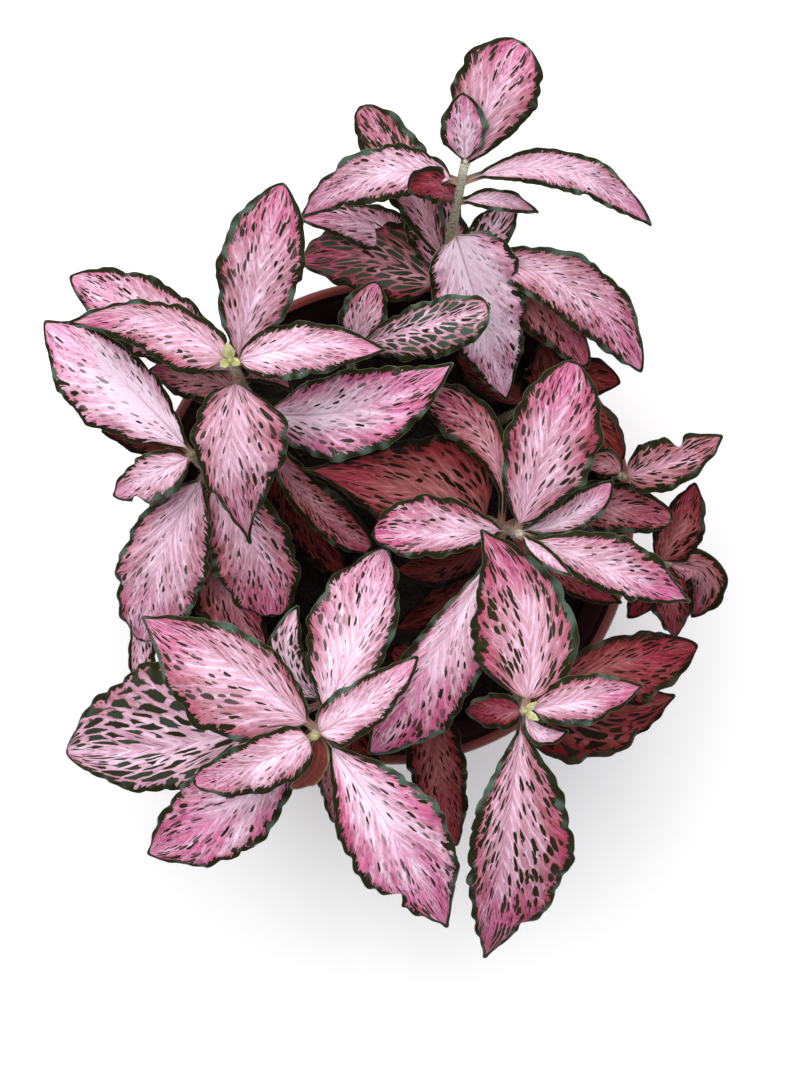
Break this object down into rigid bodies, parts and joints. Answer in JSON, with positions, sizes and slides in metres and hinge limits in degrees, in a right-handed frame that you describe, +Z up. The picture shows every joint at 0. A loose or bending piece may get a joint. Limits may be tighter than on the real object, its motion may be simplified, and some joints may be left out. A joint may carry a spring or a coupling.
{
  "type": "potted nerve plant",
  "caption": "Potted nerve plant: leafy stems of waved pink leaves with dark green margins and veined spots, rooted in compost in a round plastic nursery pot with a lip",
  "frame": {"origin": "middle of the underside of the pot, on the surface it rests on", "axes": "+Z up, along the axis of the pot; +Y towards the top of the picture, where the tallest stem leans; +X towards its right"},
  "size_m": [0.1589, 0.2019, 0.1863],
  "materials": {
    "pot": "brown-red moulded nursery pot plastic, satin",
    "soil": "dark moist compost, crumbly and rough",
    "foliage": "waved leaf blades, pink with dark green margins and spots, satin; pale green hairy stems"
  },
  "bodies": {
    "root": {"pot": "pot", "soil": "soil", "stem_back": "foliage", "stem_left": "foliage", "stem_left_low": "foliage", "stem_middle": "foliage", "stem_front_right": "foliage", "stem_front_left": "foliage", "stem_right": "foliage", "stem_right_low": "foliage", "stem_back_low": "foliage", "stem_back_right": "foliage", "stem_front_low": "foliage"}
  },
  "joints": []
}
